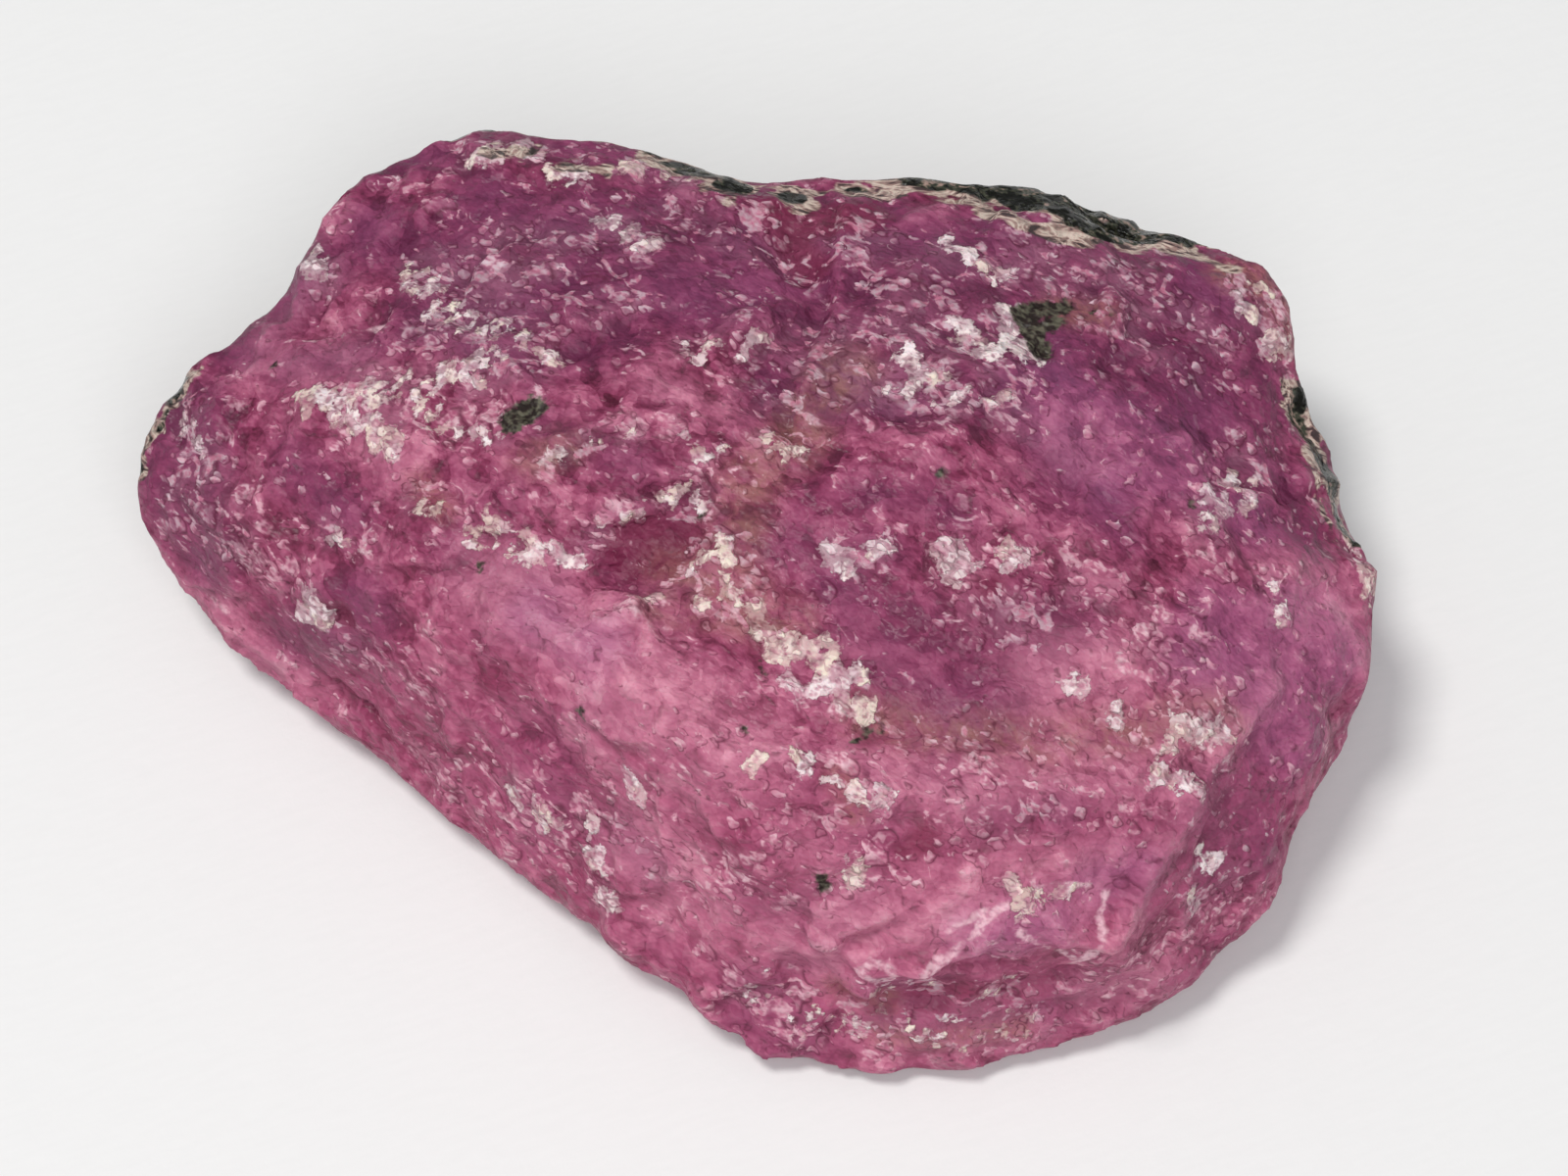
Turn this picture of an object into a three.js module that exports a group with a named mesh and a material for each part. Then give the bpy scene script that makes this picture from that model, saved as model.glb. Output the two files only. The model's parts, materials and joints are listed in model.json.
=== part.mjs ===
// A raw ruby crystal: one broken lump of pink-red corundum, 50 mm long, that lies on a flat parting face.
// Millimetres, +Z up, origin on the bench under the middle of the stone. +X runs along its length, and
// -Y is the low front where the stone slopes down to the bench.
//
// The stone is a closed polyhedron. Its corners are listed by hand, in the order in which they lie around
// the stone, and each corner is joined to its nearest neighbours as seen from the stone's heart. The flat
// faces between them are then divided and roughened, as corundum breaks in small uneven steps.
import * as THREE from "three";
import { ConvexHull } from "three/addons/math/ConvexHull.js";
import { ImprovedNoise } from "three/addons/math/ImprovedNoise.js";
import { mergeVertices } from "three/addons/utils/BufferGeometryUtils.js";

// The slanted drawing board that the upper corners are laid out on. It leans back from the bench, and its
// sight lines meet at an eye in front of it.
const boardHeight = 8; // the board's middle, above the bench
const eyeElevation = THREE.MathUtils.degToRad(60);
const eyeDistance = 196;

const heart = new THREE.Vector3(0, -0.5, 6.5); // every corner is in plain sight from here
const divisions = 3; // small edges along each edge of the polyhedron
const edgeWear = 0.35; // how far a vertex moves towards its neighbours' middle
const grainSize = 2.6; // length of the steps on a broken face
const grainDepth = 0.34;
const restHeight = 1e-3; // a vertex at or under this height belongs to the resting face

// Corners on the drawing board: [across, up, height above the bench].
const rim = [
  [-26.3, 4.6, 7], [-26.2, 2.6, 5.5], [-25.4, 0.9, 4.2], [-24.6, -0.4, 3.4], [-23, -2.4, 2.6],
  [-20.4, -4.4, 2.2], [-18.2, -5.8, 2], [-16.9, -7.2, 1.8], [-13.8, -9.5, 1.8], [-11.2, -11.5, 1.8],
  [-8.7, -13.6, 1.8], [-6.1, -15.8, 1.8], [-3, -17.4, 1.8], [-2.5, -18.5, 1.4], [-0.9, -19.2, 1.2],
  [1.2, -19.4, 1], [3.5, -19.9, 0.7], [8, -19.7, 0.8], [10.3, -19.3, 0.9], [12.7, -18.6, 1.2],
  [15.1, -17.6, 1.5], [17.1, -16.1, 2.1], [18.9, -14.4, 2.8], [20.4, -12.2, 3.6], [21.3, -9.8, 5],
  [22.3, -7.4, 6.2], [23.2, -5, 7.4], [23.9, -3.7, 8.2], [24.2, -1.6, 8.8], [24.1, 0.6, 9.2],
  [23.9, 1.6, 9], [23, 2.5, 9], [22.9, 4.4, 9], [22.1, 6, 9.5], [21.4, 7.4, 10],
  [20.9, 9, 11], [21, 10.4, 11.4], [20.3, 12.1, 12], [19.7, 13, 12.2], [18.1, 13.9, 12.5],
  [15.5, 14.8, 12.8], [13, 15.7, 13.2], [10, 16.5, 13.4], [6.5, 16.6, 13.2], [2.7, 16.7, 13],
  [-1.8, 16.7, 13], [-3.4, 17.4, 13], [-5.6, 17.8, 13], [-8, 18.4, 13], [-12, 18.9, 12.6],
  [-14.1, 18.3, 12.4], [-16.4, 17.3, 12], [-18.4, 15.9, 11.6], [-19.2, 14.3, 11.2], [-20.1, 12.4, 10.8],
  [-22.9, 9.9, 9.8], [-24.5, 8.8, 9.4], [-25.6, 7.7, 9], [-26, 6.4, 8.2],
];
const backBand = [
  [-12, 16.6, 13.6], [-7.2, 16.4, 13.9], [-1.6, 15.4, 14], [3.2, 15, 14], [8.4, 15, 14.4],
  [13.2, 14, 14], [17.6, 12.4, 13.4],
];
const plateau = [
  [-18.6, 12, 12], [-14.4, 13.2, 13.4], [-8.8, 12.4, 14.6], [-3.2, 12, 14.9], [2, 12.4, 14.8],
  [8, 11.6, 15], [14, 10.8, 14.2], [18.8, 9.2, 12.4],
  [-22.8, 7.2, 10.6], [-19.2, 7.6, 12.6], [-14.8, 8, 14], [-10.4, 7.6, 15], [-5.6, 8, 15.6],
  [0, 8, 15.6], [4.8, 7.6, 15.8], [10, 7.2, 15.4], [15.2, 6.8, 14.2], [19.6, 5.2, 11.8],
  [-24, 3.2, 8.4], [-20, 4, 11], [-16, 4.4, 13], [-11.2, 4, 14.4], [-6.4, 4, 15.2],
  [-1.6, 3.6, 15.2], [3.2, 4, 15.6], [8, 3.6, 15.4], [13.2, 2.8, 14.4], [18.4, 1.6, 12.6],
  [21.6, 0.8, 11],
  [-17.2, 10.2, 12.6], [-12, 10.4, 14.5], [-0.6, 10.8, 15.3], [1.8, 13.2, 14.1], [1.2, 10.2, 14.8],
  [3.6, 10.2, 15.5], [10.4, 10, 15], [12.4, 8.8, 15.3], [16.8, 8.8, 13.2],
  [-9, 5.8, 15.1], [-3.6, 5.6, 15.7], [1.4, 5.8, 15.3], [6.2, 5.4, 15.8], [11.6, 5, 14.7],
  [17.2, 4, 13.1], [20.6, 3, 11.4],
];
const dish = [
  [-13.4, 4.2, 13.5], [-8.6, 2.4, 14.2], [-5.4, 2.2, 13.9], [-3.6, 0.8, 13.9], [-1.4, 1.2, 14.7],
  [2, 1.2, 14.6], [5.6, 1, 15], [9.6, 0.4, 14.4], [13.6, -0.4, 13.9], [17, -1.4, 12.5],
  [20.2, -1.4, 11.5], [0.2, -1.6, 13.9], [3.8, -2, 14.3], [7.2, -2.8, 13.7], [11.2, -2.6, 13.8],
  [15.4, -3.6, 12.7], [18, -3.4, 12.1],
];
const groove = [
  [-14, 3.2, 13.2], [-10, 1.4, 13.4], [-6, -0.2, 13.2], [-2, -1.8, 13.4], [1.2, -4, 13.4],
  [3.6, -5.8, 13], [8.4, -5.8, 13], [13.2, -5.8, 12.4], [16.8, -5.2, 12],
];
const ridge = [
  [-14.8, 1.2, 12.2], [-11.6, -0.6, 13.2], [-8, -2.4, 14], [-4.4, -4.8, 14.2], [-1.2, -7.2, 13.8],
  [2.4, -8.4, 13], [6.8, -8.4, 12.8], [11.6, -8.6, 12.2], [15.6, -8, 11.4], [19.6, -4, 11.2],
  [22, -1.6, 10.4],
];
const leftFlank = [
  [-20, 0.4, 9], [-16, -0.8, 10.6], [-18.4, -2, 7.4], [-14.8, -4, 8], [-11.2, -6.4, 8],
  [-7.6, -9.2, 7.6], [-4, -12, 7], [-12.8, -1.8, 11.6], [-9.6, -3.8, 12], [-5.6, -7.2, 11.8],
  [-2.4, -10, 11], [-1.2, -14.4, 6.2],
  [-22.6, 0, 5.2], [-20.6, -2.2, 4], [-17.6, -4.4, 4], [-12.4, -8.4, 4.4], [-7.2, -12.8, 4.4],
];
const frontFace = [
  [0, -11.2, 10.8], [4, -11.2, 10.8], [8.4, -10.8, 10.8], [12.4, -11.2, 10], [5.2, -13.6, 9],
  [0.8, -14, 8],
];
const lip = [
  [1.6, -14.8, 7.4], [3.4, -15.8, 7.2], [5.6, -15.4, 7.4], [7.6, -14.7, 7.9], [9.6, -12.6, 9.6],
  [11.4, -14.3, 8], [13.3, -14.3, 7.6], [15.2, -11.8, 9.2],
];
const recess = [
  [-0.8, -16.6, 3.8], [1.6, -16.6, 3.8], [3.4, -17.4, 3.4], [6.4, -17, 4], [9.6, -16.6, 4],
  [12, -16, 4.4],
];
const rightFlank = [
  [17.6, -9.2, 9.2], [21.2, -5.6, 9.2], [20, -8.2, 8], [18.4, -11.2, 6.5], [16.4, -13.6, 5.4],
  [14.6, -15.4, 4.8],
];

// Corners out of the board's sight: [x, y, height above the bench], measured from under the board's middle.
const backShoulder = [
  [22.6, -5.2, 5], [23.6, -1.4, 6.2], [23, 1.6, 6.6], [22.6, 4.6, 6.2], [21.6, 7.6, 7.6],
  [20.8, 10.6, 8.4], [19.2, 13, 9.4], [16.2, 15, 9.6], [12.2, 16.6, 10.4], [8.2, 16.8, 9.6],
  [3.6, 17.8, 10.4], [-1.4, 17.6, 9.4], [-5.4, 19.2, 10.4], [-9.8, 19.6, 9.2], [-13.6, 20.4, 9.8],
  [-17, 18.4, 8.6], [-19.6, 15.4, 8.4], [-21.6, 12.4, 7.4], [-24.4, 9.4, 6.8], [-26.4, 6.4, 5],
];
const backWall = [
  [21.4, -3, 3.4], [22, 3.6, 4], [20.4, 9, 5], [18.6, 12.2, 5.8], [14.4, 15.6, 6.2],
  [9.4, 17.4, 7], [4.8, 16.8, 7.2], [-0.4, 18.4, 6.2], [-6.2, 19.2, 7], [-11.4, 20.2, 6],
  [-16, 17.4, 5.4], [-20, 13.2, 4.6], [-23.2, 8.8, 4],
];
const backFoot = [
  [18, 11, 2.6], [12.4, 15, 3.4], [7, 16, 3], [1.6, 16.6, 3.8], [-4, 17.4, 3],
  [-9.4, 18.4, 3.2], [-14.6, 15.6, 2.6],
];
const underside = [
  [-22, 3.4, 1.6], [-20, 8.4, 1.6], [-15.6, 13.4, 1.2], [-9.6, 16, 1.4], [-2.4, 15.4, 1.4],
  [4, 14.6, 1], [10.2, 13.6, 1.4], [16, 10, 1], [19.2, 5, 1.4], [20, -2.4, 1.4],
  [18.8, -8.6, 1.4],
];
const restingFace = [
  [-17.4, 4, 0], [-13, 9.4, 0], [-5.4, 12.4, 0], [4, 11.4, 0], [11.4, 8.6, 0], [16, 3, 0],
  [16.4, -5, 0], [13, -11, 0], [7.4, -15.4, 0], [0.6, -14, 0], [-2.8, -11.2, 0], [-5.2, -7.8, 0],
  [-10, -4.6, 0], [-13, -1.2, 0],
  [-6, 2.5, 0], [4, -5.5, 0], [6, 4.5, 0],
];

// The point at a given height on the sight line through a mark on the drawing board.
function fromBoard([across, up, height]) {
  const back = new THREE.Vector3(0, -Math.cos(eyeElevation), Math.sin(eyeElevation));
  const boardUp = new THREE.Vector3(0, Math.sin(eyeElevation), Math.cos(eyeElevation));
  const middle = new THREE.Vector3(0, 0, boardHeight);
  const eye = middle.clone().addScaledVector(back, eyeDistance);
  const mark = middle.clone().addScaledVector(boardUp, up);
  mark.x = across;
  const sight = mark.sub(eye);
  return eye.addScaledVector(sight, (height - eye.z) / sight.z);
}

// The polyhedron's triangles: each corner joined to its nearest neighbours as seen from the heart.
function joinCorners(corners) {
  const cornerAt = new Map();
  for (const corner of corners) {
    cornerAt.set(corner.clone().sub(heart).normalize(), corner);
  }
  const hull = new ConvexHull().setFromPoints([...cornerAt.keys()]);
  return hull.faces.map(({ edge }) =>
    [edge.tail(), edge.head(), edge.next.head()].map((node) => cornerAt.get(node.point)),
  );
}

// Each triangle divided into smaller ones of the same shape, in one indexed geometry.
function divide(triangles) {
  const positions = [];
  for (const [a, b, c] of triangles) {
    const ab = b.clone().sub(a).divideScalar(divisions);
    const ac = c.clone().sub(a).divideScalar(divisions);
    const at = (i, j) => a.clone().addScaledVector(ab, i).addScaledVector(ac, j);
    for (let i = 0; i < divisions; i++) {
      for (let j = 0; i + j < divisions; j++) {
        positions.push(at(i, j), at(i + 1, j), at(i, j + 1));
        if (i + j < divisions - 1) {
          positions.push(at(i + 1, j), at(i + 1, j + 1), at(i, j + 1));
        }
      }
    }
  }
  return mergeVertices(new THREE.BufferGeometry().setFromPoints(positions), 1e-3);
}

// Edges worn a little round. The resting face stays flat.
function wear(geometry) {
  const position = geometry.attributes.position;
  const index = geometry.index;
  const old = [];
  for (let i = 0; i < position.count; i++) {
    old.push(new THREE.Vector3().fromBufferAttribute(position, i));
  }
  const sum = old.map(() => new THREE.Vector3());
  const count = old.map(() => 0);
  for (let i = 0; i < index.count; i++) {
    const here = index.getX(i);
    const next = index.getX(i % 3 === 2 ? i - 2 : i + 1);
    sum[here].add(old[next]);
    count[here] += 1;
  }
  old.forEach((point, i) => {
    const middle = sum[i].divideScalar(count[i]);
    if (point.z > restHeight) {
      point.lerp(middle, edgeWear);
      position.setXYZ(i, point.x, point.y, point.z);
    }
  });
}

// The broken surface's small steps, raised or sunk along each vertex's normal.
function roughen(geometry) {
  const noise = new ImprovedNoise();
  geometry.computeVertexNormals();
  const position = geometry.attributes.position;
  const normal = geometry.attributes.normal;
  const point = new THREE.Vector3();
  const outward = new THREE.Vector3();
  for (let i = 0; i < position.count; i++) {
    point.fromBufferAttribute(position, i);
    if (point.z <= restHeight) continue;
    outward.fromBufferAttribute(normal, i);
    const coarse = noise.noise(point.x / grainSize, point.y / grainSize, point.z / grainSize);
    const half = grainSize / 2;
    const fine = noise.noise(point.x / half, point.y / half, point.z / half);
    point.addScaledVector(outward, grainDepth * (coarse + 0.5 * fine));
    point.z = Math.max(point.z, restHeight);
    position.setXYZ(i, point.x, point.y, point.z);
  }
}

const onBoard = [
  ...rim, ...backBand, ...plateau, ...dish, ...groove, ...ridge, ...leftFlank, ...frontFace, ...lip,
  ...recess, ...rightFlank,
];
const outOfSight = [...backShoulder, ...backWall, ...backFoot, ...underside, ...restingFace];
const corners = [...onBoard.map(fromBoard), ...outOfSight.map((corner) => new THREE.Vector3(...corner))];

const surface = divide(joinCorners(corners));
wear(surface);
roughen(surface);
surface.computeBoundingBox();
const box = surface.boundingBox;
surface.translate(-(box.min.x + box.max.x) / 2, -(box.min.y + box.max.y) / 2, -box.min.z);
surface.computeVertexNormals();

const rubyMaterial = new THREE.MeshStandardMaterial({ color: 0x96566d, roughness: 0.55, metalness: 0 });
const crystal = new THREE.Mesh(surface, rubyMaterial);
crystal.name = "ruby_crystal";

const stone = new THREE.Group();
stone.add(crystal);
export default stone;
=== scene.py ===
import json
import math

import bpy
import numpy as np
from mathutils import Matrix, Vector, kdtree, noise
from mathutils.bvhtree import BVHTree

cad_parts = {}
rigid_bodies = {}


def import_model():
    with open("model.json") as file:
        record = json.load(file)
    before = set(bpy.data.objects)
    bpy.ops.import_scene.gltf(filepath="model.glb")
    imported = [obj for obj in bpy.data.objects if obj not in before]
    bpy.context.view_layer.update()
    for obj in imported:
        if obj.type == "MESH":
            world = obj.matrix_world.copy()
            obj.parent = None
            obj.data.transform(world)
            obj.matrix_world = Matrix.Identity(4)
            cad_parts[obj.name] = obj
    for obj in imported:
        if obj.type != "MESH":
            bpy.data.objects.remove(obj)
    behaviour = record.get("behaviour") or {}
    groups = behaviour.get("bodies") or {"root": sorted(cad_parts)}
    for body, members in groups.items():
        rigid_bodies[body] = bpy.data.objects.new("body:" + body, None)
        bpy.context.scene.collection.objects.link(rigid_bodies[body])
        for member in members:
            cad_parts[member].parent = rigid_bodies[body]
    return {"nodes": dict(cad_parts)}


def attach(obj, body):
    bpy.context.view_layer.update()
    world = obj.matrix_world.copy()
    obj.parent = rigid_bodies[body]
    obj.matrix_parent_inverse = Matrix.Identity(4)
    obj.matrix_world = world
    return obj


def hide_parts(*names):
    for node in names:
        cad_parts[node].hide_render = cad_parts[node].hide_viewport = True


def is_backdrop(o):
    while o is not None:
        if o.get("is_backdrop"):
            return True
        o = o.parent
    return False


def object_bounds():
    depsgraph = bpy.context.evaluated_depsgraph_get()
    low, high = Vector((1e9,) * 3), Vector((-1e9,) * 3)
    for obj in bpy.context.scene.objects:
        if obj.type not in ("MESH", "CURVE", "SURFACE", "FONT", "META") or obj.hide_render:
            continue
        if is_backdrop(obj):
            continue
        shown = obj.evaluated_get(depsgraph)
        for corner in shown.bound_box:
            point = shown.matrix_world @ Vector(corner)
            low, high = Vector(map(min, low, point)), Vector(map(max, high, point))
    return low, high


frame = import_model()
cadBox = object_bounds()
mm = 0.001
print("frame loaded:", ", ".join(sorted(frame["nodes"])))

# The board that every mark on the stone is laid out on: it leans back and faces the eye.
# Marks are (across, up) in mm from its middle, and land where the eye sees them on the stone.
board = {
    "middle": (1.475, -0.999, 8.0),  # mm, in the part's frame
    "elevation": 60,                 # degrees above the bench
    "eyeDistance": 196,              # mm
    "width": 64,                     # mm of the board that the camera takes in
}
tilt = math.radians(board["elevation"])
boardMiddle = np.array(board["middle"])
boardUp = np.array((0, math.sin(tilt), math.cos(tilt)))
towardsEye = np.array((0, -math.cos(tilt), math.sin(tilt)))
eye = boardMiddle + towardsEye * board["eyeDistance"]


def select(*pieces):
    bpy.ops.object.select_all(action="DESELECT")
    for piece in pieces:
        piece.select_set(True)
    bpy.context.view_layer.objects.active = pieces[0]


def applyModifier(piece, kind, **settings):
    modifier = piece.modifiers.new(kind.lower(), kind)
    for name, value in settings.items():
        setattr(modifier, name, value)
    select(piece)
    bpy.ops.object.modifier_apply(modifier=modifier.name)


stone = {
    "voxel": 0.235,         # mm, edge length of the fine mesh
    "smoothing": 3,         # rounds that take the remesh's steps away
    "restBand": 0.12,       # mm above the bench that counts as the resting face
    "restFade": 0.8,        # mm above that until the relief is at its full height
}

block = frame["nodes"]["ruby_crystal"].copy()
block.data = block.data.copy()
block.name = block.data.name = "ruby_stone"
bpy.context.scene.collection.objects.link(block)
for key in list(block.keys()):
    del block[key]
block.parent = None
select(block)
bpy.ops.object.mode_set(mode="EDIT")
bpy.ops.mesh.select_all(action="SELECT")
bpy.ops.mesh.remove_doubles(threshold=0.00001)
bpy.ops.object.mode_set(mode="OBJECT")
applyModifier(block, "REMESH", mode="VOXEL", voxel_size=stone["voxel"] * mm, use_smooth_shade=True)
applyModifier(block, "SMOOTH", factor=0.5, iterations=stone["smoothing"])
print("stone body:", len(block.data.polygons), "faces")

mesh = block.data
count = len(mesh.vertices)


def readVertices(field):
    values = np.empty(count * 3)
    mesh.vertices.foreach_get(field, values)
    return values.reshape(-1, 3)


points = readVertices("co") / mm
normals = readVertices("normal")
edges = np.empty(len(mesh.edges) * 2, dtype=int)
mesh.edges.foreach_get("vertices", edges)
edges = edges.reshape(-1, 2)
valence = np.bincount(edges.ravel(), minlength=count)
vertexTree = kdtree.KDTree(count)
for i, point in enumerate(points):
    vertexTree.insert(point, i)
vertexTree.balance()
sightTree = BVHTree.FromObject(block, bpy.context.evaluated_depsgraph_get())


def smoothstep(values, low, high):
    t = np.clip((values - low) / (high - low), 0, 1)
    return t * t * (3 - 2 * t)


def noiseField(size, seed, octaves=1):
    shifted = points / size + seed * 17.3
    if octaves == 1:
        return np.array([noise.noise(Vector(p)) for p in shifted])
    return np.array([noise.fractal(Vector(p), 1.0, 2.0, octaves) for p in shifted])


def blurred(values, rounds):
    for _ in range(rounds):
        total = np.bincount(edges[:, 0], values[edges[:, 1]], count)
        total += np.bincount(edges[:, 1], values[edges[:, 0]], count)
        values = 0.5 * values + 0.5 * total / valence
    return values


def onStone(across, up):
    # where the eye sees a board mark on the stone; a mark just past the edge slides in to it
    for slide in (1, 0.99, 0.98, 0.97, 0.96, 0.94, 0.92, 0.9):
        mark = boardMiddle + np.array((across * slide, 0, 0)) + boardUp * up * slide
        sight = Vector(mark - eye).normalized()
        hit, normal, _, _ = sightTree.ray_cast(Vector(eye * mm), sight)
        if hit is not None:
            return np.array(hit) / mm, np.array(normal)
    raise ValueError(f"no stone under the mark ({across}, {up})")


def bandField(bands):
    # how deep each vertex lies inside the nearest band, in mm, and below 0 outside;
    # a band is its half-width and the marks that it runs through
    inside = np.full(count, -9.0)
    for halfWidth, *marks in bands:
        spots = [onStone(*mark)[0] for mark in marks]
        for start, end in zip(spots, spots[1:] or spots):
            along = end - start
            share = np.clip(((points - start) @ along) / max(along @ along, 1e-9), 0, 1)
            distance = np.linalg.norm(points - start - share[:, None] * along, axis=1)
            inside = np.maximum(inside, halfWidth - distance)
    return inside


relief = {
    "chips": (               # spacing mm, slope, step mm, warp mm
        (3.2, 0.07, 0.035, 0.5),
        (1.4, 0.07, 0.024, 0.3),
        (0.8, 0.06, 0.01, 0.15),
    ),
    "jitter": 0.48,          # how far a chip's seed strays, in spacings
    "bendSize": 0.8,         # size of the bends in the chips' borders, in spacings
    "softening": 2,          # rounds that round the chips' edges
    "worn": 0.4,             # share of the chips that is left round the outline
    "wornFacing": (0.1, 0.6),  # the outline's band, by how squarely it faces the eye
    "fullness": 0.09,        # mm, gives back what the remesh rounds off
    "swell": 0.12,           # mm, slow rise and fall over 6 mm
    "grain": 0.02,           # mm, fine grain over 0.6 mm
    "hollows": (             # depth mm, half-width mm, marks
        (0.35, 1.7, (-6.4, 0.8), (-4.2, 2.2)),
        (0.5, 1.0, (-18.1, -1.2)),
        (0.9, 1.0, (2.4, -16.6), (4.0, -17.1)),
        (0.35, 1.3, (0.4, 14.4), (1.3, 11.2)),
        (0.3, 1.0, (9.8, 11.2), (10.6, 9.8)),
        (0.3, 0.8, (-10.6, 7.2)),
        (0.3, 1.2, (-8.6, 9.8), (-6.6, 10.6)),
        (0.35, 1.0, (8.6, -16.6), (11.6, -15.8)),
        (0.4, 1.6, (13.6, 9.4), (18.4, 5.6)),
        (0.3, 1.0, (3.4, -5.8), (8.8, -6.0)),
        (0.7, 1.6, (12.9, 15.7), (14.4, 15.1)),
        (0.3, 1.2, (21.4, 6.6), (22.6, 4.0), (23.4, 1.6)),
        (0.4, 1.6, (22.9, -5.2), (22.0, -8), (21.2, -10)),
        (0.3, 1.2, (-13.4, 18.4), (-12.2, 18.6)),
    ),
    "ridges": (              # height mm, half-width mm, marks
        (0.35, 0.7, (1.6, -14.2), (3.2, -15.7), (5.6, -15.4), (7.6, -14.7), (9.6, -12.4),
         (11.4, -14.2), (13.2, -14.4)),
        (0.35, 0.9, (20, -4), (16.8, -7.6), (15.2, -11.2), (13.4, -14.2)),
        (0.3, 0.6, (2.6, 15.2), (2.2, 11.2), (0.8, 8)),
        (0.3, 0.6, (-9.4, 5.8), (-6.6, 6.8), (-4.6, 7)),
        (0.25, 0.8, (-23.6, -0.4), (-21.4, -2.4), (-19.6, -4)),
        (0.3, 0.7, (-7.4, 3.0), (-4.4, 3.4), (-2.6, 2.2)),
        (0.5, 1.6, (-6.6, -14.2), (-4.9, -15.2), (-2.6, -17)),
        (0.25, 1.4, (-18.8, 15.2), (-17.2, 16.6)),
        (0.25, 1.4, (0.6, -18.8), (4, -19.2)),
    ),
}


def chipField(spacing, slope, step, warp, seed):
    # every vertex takes the tilt and step of the nearest of many scattered seeds
    draws = np.random.default_rng(seed)
    corners = zip(points.min(0), points.max(0))
    axes = [np.arange(low - spacing, high + spacing, spacing) for low, high in corners]
    seeds = np.stack(np.meshgrid(*axes, indexing="ij"), -1).reshape(-1, 3)
    seeds = seeds + draws.uniform(-relief["jitter"], relief["jitter"], seeds.shape) * spacing
    seedTree = kdtree.KDTree(len(seeds))
    for i, place in enumerate(seeds):
        seedTree.insert(place, i)
    seedTree.balance()
    bendSize = spacing * relief["bendSize"]
    bend = np.stack([noiseField(bendSize, seed + axis) for axis in (1, 2, 3)], -1) * warp
    nearest = np.array([seedTree.find(place)[1] for place in points + bend])
    tilts = draws.normal(0, slope, seeds.shape)
    steps = draws.normal(0, step, len(seeds))
    return ((points - seeds[nearest]) * tilts[nearest]).sum(1) + steps[nearest]


# the stone is worn smoother round the outline that the eye sees
facing = np.stack([blurred(normals[:, axis], 8) for axis in range(3)], -1) @ towardsEye
wear = relief["worn"] + (1 - relief["worn"]) * smoothstep(np.abs(facing), *relief["wornFacing"])
lift = relief["fullness"] + relief["swell"] * noiseField(6, 1, 2)
for i, chip in enumerate(relief["chips"]):
    lift += wear * chipField(*chip, seed=11 * (i + 1))
lift = blurred(lift, relief["softening"])
lift += relief["grain"] * noiseField(0.6, 5, 2)
for depth, halfWidth, *marks in relief["hollows"]:
    lift -= depth * smoothstep(bandField([(halfWidth, *marks)]), 0, halfWidth)
for height, halfWidth, *marks in relief["ridges"]:
    lift += height * smoothstep(bandField([(halfWidth, *marks)]), 0, halfWidth)
print("relief laid out")

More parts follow.
